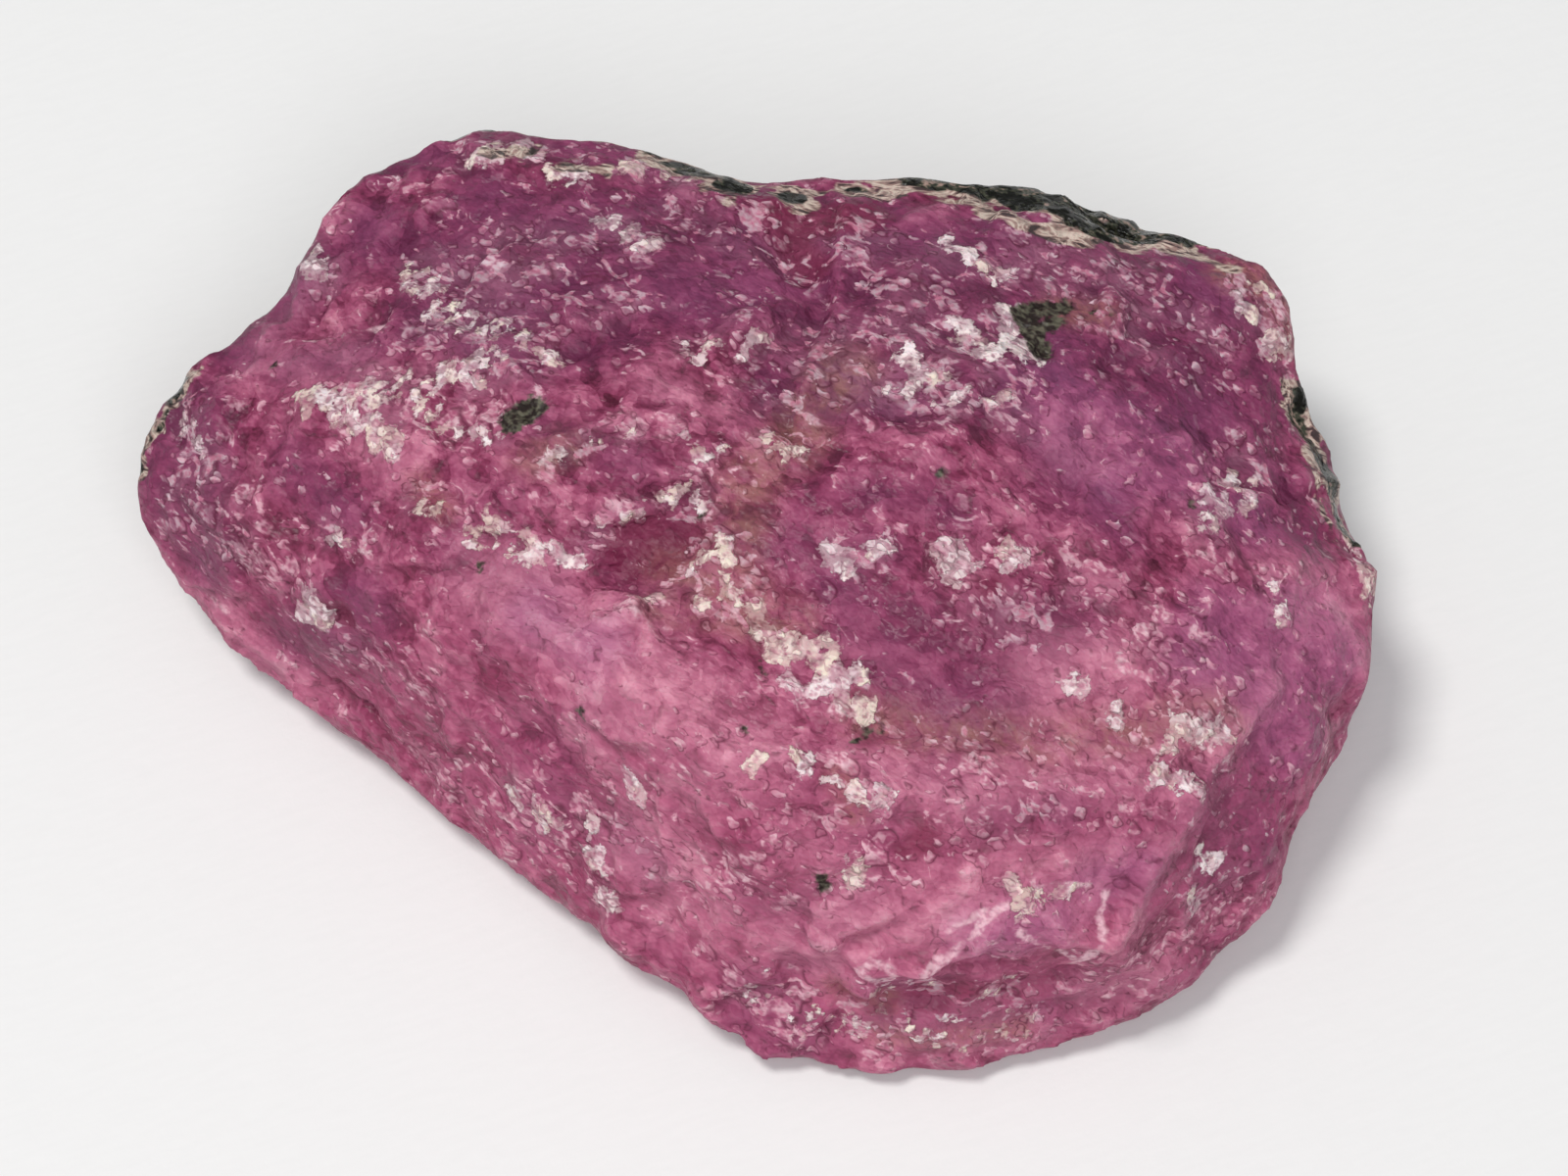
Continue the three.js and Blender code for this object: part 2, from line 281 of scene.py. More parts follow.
feldspar = {
    "crumbHeight": 0.10,     # mm, of a crumb of the full radius or more
    "fullRadius": 0.3,       # mm
    "longest": 2.1,          # how much longer than wide a crumb may be
    "lumpSize": 0.5,         # mm, the lumps in a crumb's outline
    "lumpiness": 0.8,
    "packed": 0.95,          # chalkiness of a small drift
    "loose": 0.93,           # chalkiness of a drift that spreads wide
    "looseWidth": 0.55,      # mm, half-width from which a drift counts as loose
    # half-width mm, crumbs per drift, crumb radius mm, cream share, marks
    "drifts": (
        (0.35, 7, 0.42, 0.5, (-19.9, 7.7), (-18.4, 7.8)),
        (0.7, 80, 0.16, 0.4, (-18.2, 7.6), (-15, 8.2), (-12, 9.0)),
        (0.6, 22, 0.2, 0.5, (-17.6, 7.0), (-16.4, 6.2)),
        (0.3, 9, 0.3, 0.6, (-16.4, 6.2), (-15.9, 5.8)),
        (0.7, 16, 0.16, 0.2, (-15, 7.0), (-12, 6.6)),
        (0.7, 44, 0.18, 0.3, (-15.0, 13.0), (-14.0, 11.4), (-11.8, 10.4)),
        (0.35, 10, 0.2, 0.2, (-10.6, 10.0), (-9.6, 9.4)),
        (0.5, 14, 0.17, 0.1, (-3.8, 9.6), (-2.2, 9.2), (-0.8, 9.8)),
        (0.12, 12, 0.13, 0.2, (-9.8, 5.2), (-7.3, 6.0), (-6.2, 6.3)),
        (0.2, 16, 0.15, 0.3, (-8.2, 2.5), (-6.8, 2.9), (-4.8, 3.8), (-3.9, 4.3)),
        (0.15, 10, 0.14, 0.3, (-4.2, 6.2), (-3.4, 5.2), (-2.6, 5.6)),
        (0.5, 6, 0.16, 0.9, (18.8, 12.4), (20.0, 11.6), (20.6, 10.6)),
        (0.25, 4, 0.3, 0.9, (-15, 3.5), (-14.2, 3.2)),
        (0.25, 4, 0.34, 0.3, (-12.4, 2.5), (-11.4, 2.3)),
        (0.1, 5, 0.4, 0.3, (-10.5, 2.0), (-10.3, 1.2)),
        (0.1, 9, 0.2, 0.3, (-9.5, 2.0), (-9.1, 1.2), (-8.4, 1.1), (-8.2, 1.6)),
        (0.4, 9, 0.2, 0.2, (-18.4, 2.2), (-17, 1.5)),
        (0.12, 6, 0.46, 0.1, (-19.2, -0.4), (-19.2, -1.2)),
        (0.25, 5, 0.21, 0.9, (-5.6, -0.5), (-4.5, 0.1)),
        (0.3, 6, 0.19, 0.8, (-4.0, 0.9), (-3.2, 1.3)),
        (0.2, 4, 0.21, 0.9, (-3.6, 0.0), (-3.4, -0.8)),
        (0.3, 7, 0.19, 0.9, (-2.6, 0.5), (-1.9, -0.5)),
        (0.3, 5, 0.2, 0.7, (-2.3, 1.9), (-2.1, 1.0)),
        (0.25, 6, 0.3, 0.9, (-1.3, -1.3), (-0.6, -2.2)),
        (0.4, 12, 0.34, 0.9, (-0.2, -2.4), (1.4, -2.9)),
        (0.2, 5, 0.25, 0.9, (0.6, -2.4), (2.2, -2.1)),
        (0.35, 12, 0.34, 0.2, (0.3, -3.8), (1.8, -4.3), (3.3, -5.0)),
        (0.25, 6, 0.28, 0.3, (1.8, -3.4), (3.2, -3.8)),
        (0.15, 5, 0.36, 0.05, (2.1, 1.4), (2.6, 1.0)),
        (0.2, 4, 0.2, 0.1, (3.2, 0.9), (3.8, 1.5)),
        (0.15, 6, 0.46, 0.05, (6.5, 1.4), (7.3, 1.0)),
        (0.4, 9, 0.22, 0.2, (8.2, 1.5), (9.8, 1.2)),
        (0.3, 7, 0.28, 0.1, (5.0, 9.5), (5.4, 8.4)),
        (0.9, 16, 0.2, 0.2, (4.8, 8.2), (7.0, 8.0), (9.4, 7.2)),
        (0.2, 16, 0.42, 0.1, (8.7, 11.5), (9.1, 10.4), (9.9, 9.4)),
        (0.4, 7, 0.24, 0.1, (6.6, 13.9), (7.4, 13.3)),
        (0.3, 4, 0.25, 0.1, (8.2, 13.1), (8.8, 12.8)),
        (0.6, 16, 0.24, 0.2, (17.3, 2.3), (18.2, 3.2), (19.0, 4.8)),
        (0.3, 6, 0.22, 0.2, (20, 0.2), (20.2, -1.2)),
        (0.5, 10, 0.28, 0.7, (23.2, 1.8), (23.8, 0.0)),
        (0.3, 5, 0.22, 0.1, (11.6, -3.6), (12.0, -4.2)),
        (0.5, 20, 0.26, 0.3, (13.8, -5.2), (15.6, -5.8), (17.8, -5.6)),
        (0.4, 9, 0.26, 0.2, (15.2, -7.6), (16.8, -8.0)),
        (0.4, 9, 0.32, 0.95, (9.0, -12.1), (9.9, -12.7)),
        (0.2, 5, 0.2, 0.4, (9.8, -12.4), (12.2, -12.2)),
        (0.5, 16, 0.19, 0.2, (0.8, -7.3), (2.6, -7.9), (4.4, -8.6)),
        (0.3, 5, 0.24, 0.3, (2.8, -10.8), (2.9, -12.0)),
        (0.7, 16, 0.22, 0.5, (-10.8, -8.4), (-9.4, -9.4)),
        (0.4, 10, 0.22, 0.3, (-7.7, -9.8), (-7.4, -11.4)),
        (0.3, 5, 0.24, 0.1, (-7.2, -12.6)),
        (0.3, 7, 0.24, 0.3, (-6.2, -8.0), (-5.8, -8.8)),
        (0.3, 5, 0.26, 0.1, (17.0, -11.0), (17.4, -11.4)),
        (0.3, 5, 0.26, 0.1, (16.4, -12.2), (16.8, -12.8)),
        (0.5, 9, 0.28, 0.3, (-7.0, 14.6), (-5.8, 14.0)),
        (0.4, 14, 0.3, 0.3, (-12.4, 17.6), (-10.2, 17.8)),
        (0.35, 9, 0.3, 0.2, (-9.2, 16.9), (-8.4, 17.0)),
        (0.3, 9, 0.22, 0.6, (-6.4, 17.0), (-3.6, 16.5)),
        (0.35, 9, 0.28, 0.2, (-19.6, 13.6), (-18.6, 12.6)),
        (0.4, 9, 0.34, 0.6, (19.8, 10.2), (20.4, 9.4)),
        (0.3, 5, 0.26, 0.2, (18.5, 11.9), (18.9, 10.8)),
        (0.7, 10, 0.16, 0.0, (-24.2, 6.6), (-23.4, 4.6)),
        (1.2, 12, 0.11, 0.3, (-1.0, -16.2), (1.2, -17.6)),
        (0.12, 4, 0.26, 0.9, (-1.6, -7.2), (-0.8, -7.1)),
        (1.0, 40, 0.11, 0.6, (1.0, -17.6), (9.6, -17.8)),
        (0.5, 12, 0.13, 0.6, (4.0, -16.4), (9.4, -16.4)),
        (0.35, 12, 0.24, 0.2, (7.2, 10.6), (8.4, 9.4)),
        (0.4, 10, 0.22, 0.2, (17.2, 3.6), (18.4, 4.4)),
        (0.4, 9, 0.16, 0.6, (-0.6, 5.8), (0.6, 5.4)),
        (0.35, 10, 0.16, 0.3, (-4.8, 3.8), (-3.2, 3.4)),
        (0.4, 8, 0.15, 0.3, (-12.6, 1.8), (-11.4, 1.4)),
    ),
}

insideFeldspar = np.full(count, -1.0)
chalk = np.zeros(count)
cream = np.zeros(count)
crumbLift = np.zeros(count)
halo = np.full(count, -9.0)
lumps = feldspar["lumpiness"] * noiseField(feldspar["lumpSize"], 31, 2)
draws = np.random.default_rng(77)


def addCrumb(centre, normal, radius, chalkiness, creaminess):
    stretch = draws.uniform(1, feldspar["longest"])
    direction = np.cross(normal, draws.normal(size=3))
    direction /= np.linalg.norm(direction)
    found = vertexTree.find_range(centre, radius * stretch * 1.5 + 0.25)
    near = np.array([i for _, i, _ in found])
    if not len(near):
        return
    offset = points[near] - centre
    along = offset @ direction
    rest = offset - along[:, None] * direction
    distance = np.sqrt((along / stretch) ** 2 + (rest ** 2).sum(1))
    inside = radius * (1 + lumps[near]) - distance
    deeper = inside > insideFeldspar[near]
    chosen = near[deeper]
    insideFeldspar[chosen] = inside[deeper]
    chalk[chosen] = chalkiness
    cream[chosen] = creaminess
    height = feldspar["crumbHeight"] * min(1, radius / feldspar["fullRadius"])
    dome = height * smoothstep(inside, -0.04, 0.7 * radius)
    crumbLift[near] = np.maximum(crumbLift[near], dome)


def scatterCrumbs(weights, number, radius, chalkiness, creamShare):
    weights = weights / weights.sum()
    for i in draws.choice(count, number, p=weights):
        size = radius * draws.uniform(0.6, 1.35)
        creaminess = draws.uniform(0.6, 1) if draws.random() < creamShare else draws.uniform(0, 0.3)
        addCrumb(points[i], normals[i], size, chalkiness * draws.uniform(0.7, 1.1), creaminess)


for halfWidth, number, radius, creamShare, *marks in feldspar["drifts"]:
    band = bandField([(halfWidth, *marks)])
    halo = np.maximum(halo, band)
    chalkiness = feldspar["packed"]
    if halfWidth > feldspar["looseWidth"]:
        chalkiness = feldspar["loose"]
    scatterCrumbs(np.where(band > 0, 1.0, 1e-9), number, radius, chalkiness, creamShare)
lift += crumbLift
print("feldspar crumbs laid out")

# half-width in mm, then the marks that the band runs through
bands = {
    "darkGrain": (  # grains of the dark matrix, and a few dark cracks
        (0.65, (-11.0, 6.9), (-10.3, 7.3)),
        (0.5, (9.8, 11.3), (10.5, 9.7)),
        (0.45, (10.2, 11.4), (11.4, 11.5)),
        (0.35, (10.6, 10.7), (11.1, 10.9)),
        (0.3, (-8.2, -5.1)),
        (0.22, (-12.4, 0.9)),
        (0.26, (1.5, -11.8), (1.6, -12.2)),
        (0.18, (6.4, 4.6)),
        (0.2, (10.4, 1.4)),
        (0.2, (-1.6, -5.8)),
        (0.16, (4.0, -5.8)),
        (0.18, (-20.7, 9)),
        (0.16, (16.6, 3.4)),
        (0.16, (-3.4, 2.9)),
        (0.12, (11.9, 11.6)),
        (0.14, (12.6, 11.2)),
        (0.1, (13.3, 10.9)),
        (0.06, (2.6, -6.5), (3.3, -6.0), (3.9, -5.5)),
        (0.05, (3.3, -6.0), (3.2, -5.4)),
        (0.07, (-1.0, -3.1), (-0.7, -3.8)),
    ),
    "vein": (  # pale healed cracks
        (0.06, (-7.8, -0.8), (-6.9, -1.0), (-6.0, -1.2), (-4.4, -1.8)),
        (0.17, (5.6, -15.4), (6.8, -14.8), (7.2, -14.4), (8.0, -13.8), (8.4, -13.2), (9.1, -12.9)),
        (0.1, (6.6, -13.9), (7.4, -13.6), (8.0, -13.2), (8.4, -13.0)),
        (0.1, (9.6, -14.0), (11.0, -14.6), (12.0, -15.2)),
        (0.14, (11.7, -15.4), (12.4, -15.0), (12.9, -14.2), (12.9, -13.4), (13.2, -12.5)),
        (0.13, (3.0, -15.6), (3.5, -15.3), (4.3, -15.4), (4.6, -15.8), (3.9, -16.1), (3.0, -15.6)),
        (0.06, (10.2, -12.4), (10.9, -12.0), (11.6, -12.1), (12.6, -12.2)),
        (0.06, (-24.4, 0.4), (-22.6, -0.9)),
        (0.06, (-21.6, -1.8), (-20.8, -2.3), (-19.8, -3.2)),
        (0.04, (-20.4, 10.0), (-19.3, 10.0), (-18.0, 10.3), (-15.8, 10.8)),
    ),
    "rind": (  # the dark matrix rind along the back edge
        (0.5, (-5.4, 17.6), (-2.6, 16.9)),
        (0.4, (4, 16.6), (8.4, 16.6)),
        (1.2, (10.0, 16.1), (12.2, 15.5)),
        (1.3, (12.2, 15.3), (14.6, 14.7)),
        (0.35, (14.6, 15.1), (16.6, 14.5)),
        (0.34, (-2.5, 16.3), (-1.9, 16.2)),
        (0.28, (0.2, 15.9), (0.7, 15.8)),
        (0.35, (2.6, 16.1), (3.2, 16.1)),
        (0.4, (20.9, 7.8), (21.6, 5.6), (22.4, 3.6), (23.0, 2.2)),
        (0.2, (-24.8, 8.6), (-26, 6.6), (-26.2, 4.8)),
    ),
    "seam": (  # the cream seam between the rind and the ruby
        (0.1, (-12, 17.9), (-8.4, 17.5), (-4, 16.9)),
        (0.12, (-4, 16.6), (0, 16.1), (3.6, 15.9)),
        (0.14, (-3.4, 16.2), (-2.2, 15.7), (-1.2, 16.0)),
        (0.14, (-0.6, 15.9), (0.4, 15.2), (1.4, 15.7)),
        (0.4, (-12.2, 17.5), (-10.4, 17.7)),
        (0.4, (-8.8, 17.1), (-7.2, 16.9)),
        (0.2, (4, 16.0), (8, 15.7)),
        (0.42, (8.4, 15.3), (10.4, 14.6), (12.8, 14.1)),
        (0.34, (12.8, 14.2), (14.6, 14.3), (16.6, 13.8), (18.4, 13.0)),
        (0.15, (20.4, 8.4), (21.0, 5.6), (22.0, 3.0), (22.6, 1.8)),
    ),
    "brown": (  # rusty stains
        (1.0, (18.2, 12.8), (20, 12), (20.8, 10.4)),
        (0.8, (11.2, 11.4), (12.8, 11.0)),
        (0.8, (2.4, -16.5), (3.9, -17.0)),
        (0.5, (4, -18.2), (9.6, -18.0)),
        (0.5, (2.2, -7.6), (2.9, -9.2)),
        (0.5, (-14.8, 4.2), (-13.8, 3.2)),
    ),
    "crimson": (  # clear red spots, most of them in the hollows, where their darkness is painted shade
        (1.3, (-6.2, 1.5), (-4.0, 2.0)),
        (0.9, (-18.3, -1.0)),
        (0.6, (2.4, -16.4), (3.6, -16.8)),
        (0.5, (5.6, -16.3), (8.6, -16.2)),
        (0.8, (0.4, 14.4), (1.2, 13.0)),
        (0.8, (5.6, -10.4)),
        (0.7, (8.6, 0.0)),
        (1.0, (-0.4, 15.0), (3.4, 15.0)),
    ),
    "olive": (  # greenish dust in the groove and on the crest
        (1.3, (2.6, 8.8), (0.6, 6.2), (-1.6, 4.2), (-2.4, 0.6), (-1.4, -1)),
        (1.0, (3, -5.4), (6.4, -5.9), (9.8, -6.3), (14, -5.8), (17.8, -5.2)),
        (0.9, (-5.2, -0.6), (-2.6, -1.0), (0.4, -1.4)),
        (1.0, (-4.6, 0.8), (-2, -0.4)),
        (0.8, (-10.4, 5.2), (-8.8, 5.8)),
    ),
    "orchid": (  # where the ruby is bluer
        (2.2, (11, 7.8), (14, 5.6), (16.4, 5.0)),
        (2.4, (17.6, -2.2), (22, -2.4)),
        (1.8, (19, -4.6), (21, -6.4)),
        (1.4, (17.6, 3.6), (19, 2.6)),
        (1.2, (12.4, -12), (14, -11.4)),
        (1.2, (8, -14), (11, -13.4)),
        (1.2, (-10, -1), (-7.6, -2.2)),
    ),
    "ruddy": (  # where it is redder
        (1.1, (1.6, -16.4), (10, -16.4)),
        (1.0, (16, -12.4)),
        (0.9, (-2.4, 1.4), (-2, -0.4)),
    ),
    "flaky": (  # where it breaks into many small flakes
        (3.2, (-14, 12), (-8, 13)),
        (2.6, (-1, 9), (4, 9)),
        (2.6, (4.5, 12), (8, 8)),
        (2.6, (8, 0.5), (15, -2)),
        (2.4, (-13, -8), (-5, -11)),
        (1.5, (-18.6, -1.8), (-15, -4)),
        (2.4, (-24, 3), (-21, 1.5)),
        (2.2, (3, -7), (13, -8)),
        (2.0, (13, -16), (18, -13)),
        (2.1, (13.6, 11.4), (16.4, 9.8)),
        (1.9, (8, 13.6), (15.6, 12)),
        (2.0, (-4, 15), (3, 14)),
        (1.2, (-1, -17), (9, -17)),
        (1.6, (14, -5), (18, -6)),
        (1.6, (17, 2), (19, 5)),
        (1.6, (-17, 8), (-11, 8)),
        (2.4, (-6, -9), (-3, -12), (3, -10.6)),
        (2.2, (3, -9), (9, -9.4)),
        (1.6, (-4, -6.4), (0, -8)),
    ),
    "pale": (  # where it is paler and smoother
        (2.2, (-11.8, 0.4), (-7.6, -2.4), (-4, -4.8), (-1.6, -6.4)),
        (2.8, (-7.6, -2.4), (-5.6, -4.6)),
        (1.3, (-24.2, 0), (-22.2, -1.8), (-19.6, -4)),
        (2.0, (2.6, -13.6), (6, -13.8), (9, -12.6), (12, -12.6)),
        (1.0, (20, -3.6), (17, -7.4), (15.4, -11), (13.6, -14)),
        (0.8, (-19, 12.6), (-21.4, 10), (-19, 8.4)),
        (1.4, (-8, -6), (-3.6, -11.4)),
        (1.6, (21, -1), (23.4, -2.4)),
        (1.6, (4.6, -7.8), (7, -8.6), (12, -7)),
        (1.9, (10.4, -3.8), (13.4, -3.2)),
        (0.9, (-5.2, 8.4), (-2.4, 7.2)),
        (2.2, (-5.6, -10.6), (-3, -13)),
        (1.4, (-5, -13), (-3.4, -12)),
        (1.8, (-0.6, -14.6), (2, -15.6)),
        (1.4, (20.6, 1), (23, -1)),
        (1.6, (10, -7.2), (16, -7.4)),
        (1.6, (9.4, -11.4), (12.6, -11.4)),
        (1.5, (12.4, -16.6), (15.4, -15.8)),
        (1.3, (4, -18.2), (10, -18)),
        (1.1, (-4.6, -8), (-3.4, -8.8)),
        (1.0, (11.6, 5.8), (12.6, 5.2)),
        (1.0, (-16.8, 5.8), (-15.4, 5.2)),
        (1.0, (-12.4, 1.8), (-11.6, 1.2)),
        (1.0, (-18.6, 9.8), (-17.6, 9.4)),
        (1.2, (0.8, -10.6), (3, -12.6)),
    ),
    "paintedShade": (  # painted shade: darker in the hollows, on the faces that lean away from the light and along the top edge
        (1.3, (-6.2, 1.0), (-4.2, 2.4)),
        (1.0, (-17.9, -1.2)),
        (1.6, (-8.6, 9.8), (-6.4, 10.4)),
        (1.0, (2.4, -2), (3, 0.2)),
        (1.6, (14, 8.4), (18, 6.6)),
        (1.4, (0.2, 14.2), (1.2, 11.4)),
        (1.0, (8.8, -9.4), (11, -9)),
        (2.0, (17.6, -8.8), (19, -10.4)),
        (1.6, (15.8, -12.2), (18, -11.4)),
        (2.2, (5, -3.4), (8.6, -4.6)),
        (2.8, (-14, 11.6), (-6, 12.4), (2, 11.4), (10, 10.4), (18, 8)),
        (1.8, (-16.6, 14.6), (-13.6, 13)),
        (1.4, (-12.6, 13.8), (-11.4, 13.2)),
        (1.3, (-6.4, -10), (-5.6, -10.8)),
        (1.3, (9.4, -2), (10.8, -2.6)),
        (1.4, (17.4, 8), (18.6, 7)),
        (1.1, (-2.6, 1.8), (0.2, 1.6)),
        (1.0, (3.6, 1.8), (4.4, 1.2)),
        (1.0, (5.6, 7.8), (6.4, 7.2)),
        (2.0, (9.8, -17), (4.6, -16.9)),
        (1.0, (11.6, 5), (14, 2)),
        (0.8, (3.6, 3.6), (7, 3)),
        (2.6, (-12, 15), (-4, 14.4), (4, 13), (10, 13), (18, 11)),
        (1.3, (-16.4, 17.2), (-12, 18.2), (-6, 17.4), (-2, 16.6)),
        (3.0, (-24.6, 6), (-24, 2.4)),
        (1.3, (-20, 5), (-17.6, 3)),
        (1.0, (-10, 6.4), (-6, 5)),
        (2.6, (13, 10), (19, 8)),
        (1.2, (2, 0), (6, -1.4)),
        (1.4, (9, -1), (12, -1.6)),
        (1.8, (-20, -2), (-17, -1)),
        (1.8, (-22, 10), (-19, 13)),
        (1.4, (-1, 16), (4, 15.2)),
        (1.1, (-20, 9), (-16.5, 10)),
        (1.0, (-13, 9.8), (-10, 8.8)),
        (2.4, (9, 14), (14, 12.6), (17, 12)),
        (2.0, (0, 8.4), (8, 8)),
        (1.8, (19.5, 5.5), (21, 2.5)),
        (1.6, (4.6, -2.6), (8.4, -3)),
    ),
}

rindCover = {
    "facing": 0.05,          # it covers what faces the eye less than this
    "depth": 0.3,            # how far past that it counts as deeper
    "patchHeights": (4, 9),  # mm, all patches below the one and whole above the other
    "patchSize": 5.5,        # mm
    "patchLoss": 0.7,        # how much of it is missing down there
    "sideStart": 6,          # mm behind the middle, where it begins to thin out
    "sideWander": 5,         # mm, how far that line wanders
    "ragged": 0.5,           # mm
    "seamWidth": 0.3,        # mm, half-width of the seam round its patches
}
patchLow, patchHigh = rindCover["patchHeights"]
behind = np.minimum(rindCover["facing"] - facing, rindCover["depth"]) * 3
lower = smoothstep(-points[:, 2], -patchHigh, -patchLow)
patches = np.minimum(noiseField(rindCover["patchSize"], 40, 2), 0.2)
behind += 2.2 * patches * lower - rindCover["patchLoss"] * lower
sideways = rindCover["sideStart"] - points[:, 1] + rindCover["sideWander"] * noiseField(4, 39, 2)
behind -= 0.35 * np.maximum(sideways, 0)
rind = np.maximum(bandField(bands["rind"]), behind)
rind += rindCover["ragged"] * noiseField(1.6, 41, 3)
seam = np.maximum(bandField(bands["seam"]), rindCover["seamWidth"] - np.abs(rind))
seam += rindCover["ragged"] * noiseField(1.4, 43, 3)
haloFlakes = smoothstep(halo + 0.5 * noiseField(1.2, 53, 2), -1.1, 0.2)  # round each feldspar drift

# what the material reads at each point: a depth in mm inside a mark, or a share from 0 to 1
pointMasks = {
    "feldspar": insideFeldspar,
    "chalk": chalk,
    "cream": cream,
    "darkGrain": np.maximum(bandField(bands["darkGrain"]), -1),
    "rind": np.clip(rind, -1, 1),
    "seam": np.clip(seam, -1, 1),
    "brown": smoothstep(bandField(bands["brown"]), -0.6, 0.7),
    "vein": bandField(bands["vein"]) + 0.18 * noiseField(0.9, 61, 2),
    "crimson": smoothstep(bandField(bands["crimson"]) + 0.4 * noiseField(0.9, 59), -0.4, 0.5),
    "olive": smoothstep(bandField(bands["olive"]), -0.8, 1.0),
    "orchid": smoothstep(bandField(bands["orchid"]) + 0.6 * noiseField(2.0, 67, 2), -1.0, 1.2),
    "ruddy": smoothstep(bandField(bands["ruddy"]), -0.8, 0.8),
    "flaky": np.maximum(smoothstep(bandField(bands["flaky"]) + 0.6 * noiseField(1.8, 47, 2), -0.8, 1.2),
                        1.2 * haloFlakes),
    "pale": smoothstep(bandField(bands["pale"]), -1.0, 2.0),
    # painted shade, as the material reads it
    "paintedShade": smoothstep(bandField(bands["paintedShade"]), -1.0, 1.4),
    "paintedTopShade": smoothstep((points - boardMiddle) @ boardUp, -10, 10),  # painted shade, stronger towards the top edge
    "paintedCrestLight": np.clip((lift - blurred(lift, 12)) / 0.12, -1, 1),     # painted light: lighter where it stands proud and darker in the dips
}
for name, values in pointMasks.items():
    made = mesh.attributes.new(name, "FLOAT", "POINT")
    made.data.foreach_set("value", values.astype(np.float32))

# the resting face stays flat, and the relief begins a little above it
resting = points[:, 2] < stone["restBand"]
lift = lift * smoothstep(points[:, 2], stone["restBand"], stone["restBand"] + stone["restFade"])
shaped = points + normals * lift[:, None]
shaped[:, 2] = np.where(resting, 0, np.maximum(shaped[:, 2], 0))
mesh.vertices.foreach_set("co", (shaped * mm).ravel())
mesh.update()
select(block)
bpy.ops.object.shade_smooth()
print("stone shaped")

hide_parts("ruby_crystal")
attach(block, "root")


def addNode(tree, kind, inputs=None, **settings):
    # adds a shader node: an input that is a socket is linked, any other is set
    made = tree.nodes.new("ShaderNode" + kind)
    for name, value in settings.items():
        setattr(made, name, value)
    for name, value in (inputs or {}).items():
        if isinstance(value, bpy.types.NodeSocket):
            tree.links.new(value, made.inputs[name])
        else:
            made.inputs[name].default_value = value
    return made


def calculate(tree, operation, *values):
    result = values[0]
    for value in values[1:]:
        result = addNode(tree, "Math", {0: result, 1: value}, operation=operation).outputs[0]
    return result


def add(tree, *values):
    return calculate(tree, "ADD", *values)


def times(tree, *values):
    return calculate(tree, "MULTIPLY", *values)


def vectors(tree, operation, first, second):
    second = {"Scale": second} if operation == "SCALE" else {1: second}
    return addNode(tree, "VectorMath", {0: first, **second}, operation=operation).outputs[0]


def ranged(tree, value, low, high, newLow=0.0, newHigh=1.0, smooth=False):
    kind = "SMOOTHSTEP" if smooth else "LINEAR"
    inputs = {"Value": value, "From Min": low, "From Max": high, "To Min": newLow, "To Max": newHigh}
    return addNode(tree, "MapRange", inputs, interpolation_type=kind).outputs["Result"]


def mixed(tree, factor, first, second):
    inputs = {0: factor, 6: first, 7: second}
    return addNode(tree, "Mix", inputs, data_type="RGBA").outputs[2]


def ramped(tree, value, *stops):
    ramp = addNode(tree, "ValToRGB", {"Fac": value})
    elements = ramp.color_ramp.elements
    while len(elements) < len(stops):
        elements.new(0.5)
    for element, (position, colour) in zip(elements, stops):
        element.position = position
        element.color = colour
    return ramp.outputs["Color"]


def cloud(tree, place, size, detail=2.0, swirl=0.0):
    scale = calculate(tree, "DIVIDE", 1.0, size)
    inputs = {"Vector": place, "Scale": scale, "Detail": detail, "Roughness": 0.6, "Distortion": swirl}
    return addNode(tree, "TexNoise", inputs).outputs


def newGroup(name, sockets):
    # sockets are (name, "in" or "out", kind, default)
    tree = bpy.data.node_groups.new(name, "ShaderNodeTree")
    for label, side, kind, default in sockets:
        made = tree.interface.new_socket(label, in_out="INPUT" if side == "in" else "OUTPUT",
                                         socket_type="NodeSocket" + kind)
        if default is not None:
            made.default_value = default
    given = tree.nodes.new("NodeGroupInput")
    result = tree.nodes.new("NodeGroupOutput")
    return tree, given.outputs, result.inputs


def useGroup(tree, group, **inputs):
    made = tree.nodes.new("ShaderNodeGroup")
    made.node_tree = group
    for name, value in inputs.items():
        if isinstance(value, bpy.types.NodeSocket):
            tree.links.new(value, made.inputs[name])
        else:
            made.inputs[name].default_value = value
    return made.outputs


def makeMottle():
    # cloudy patches, Size mm wide, from 0 to 1
    tree, given, result = newGroup("mottle", (
        ("Place", "in", "Vector", None), ("Size", "in", "Float", 1.0), ("Detail", "in", "Float", 2.0),
        ("Swirl", "in", "Float", 0.0), ("Value", "out", "Float", None),
    ))
    patches = cloud(tree, given["Place"], given["Size"], given["Detail"], given["Swirl"])["Fac"]
    tree.links.new(ranged(tree, patches, 0.28, 0.72), result["Value"])
    return tree


def warpedCells(tree, given):
    # the cells of a Voronoi pattern with bent borders, and the bent places that they were drawn at
    swirl = cloud(tree, given["Place"], times(tree, given["Size"], 0.7), 0.0)["Color"]
    bend = vectors(tree, "SCALE", vectors(tree, "SUBTRACT", swirl, (0.5, 0.5, 0.5)),
                   times(tree, given["Warp"], 4.0))
    place = vectors(tree, "ADD", given["Place"], bend)
    scale = calculate(tree, "DIVIDE", 1.0, given["Size"])
    return addNode(tree, "TexVoronoi", {"Vector": place, "Scale": scale}).outputs, place


def tiltedHeight(tree, cells, place):
    tilt = vectors(tree, "SUBTRACT", cells["Color"], (0.5, 0.5, 0.5))
    away = vectors(tree, "SUBTRACT", place, cells["Position"])
    return addNode(tree, "VectorMath", {0: tilt, 1: away}, operation="DOT_PRODUCT").outputs["Value"]


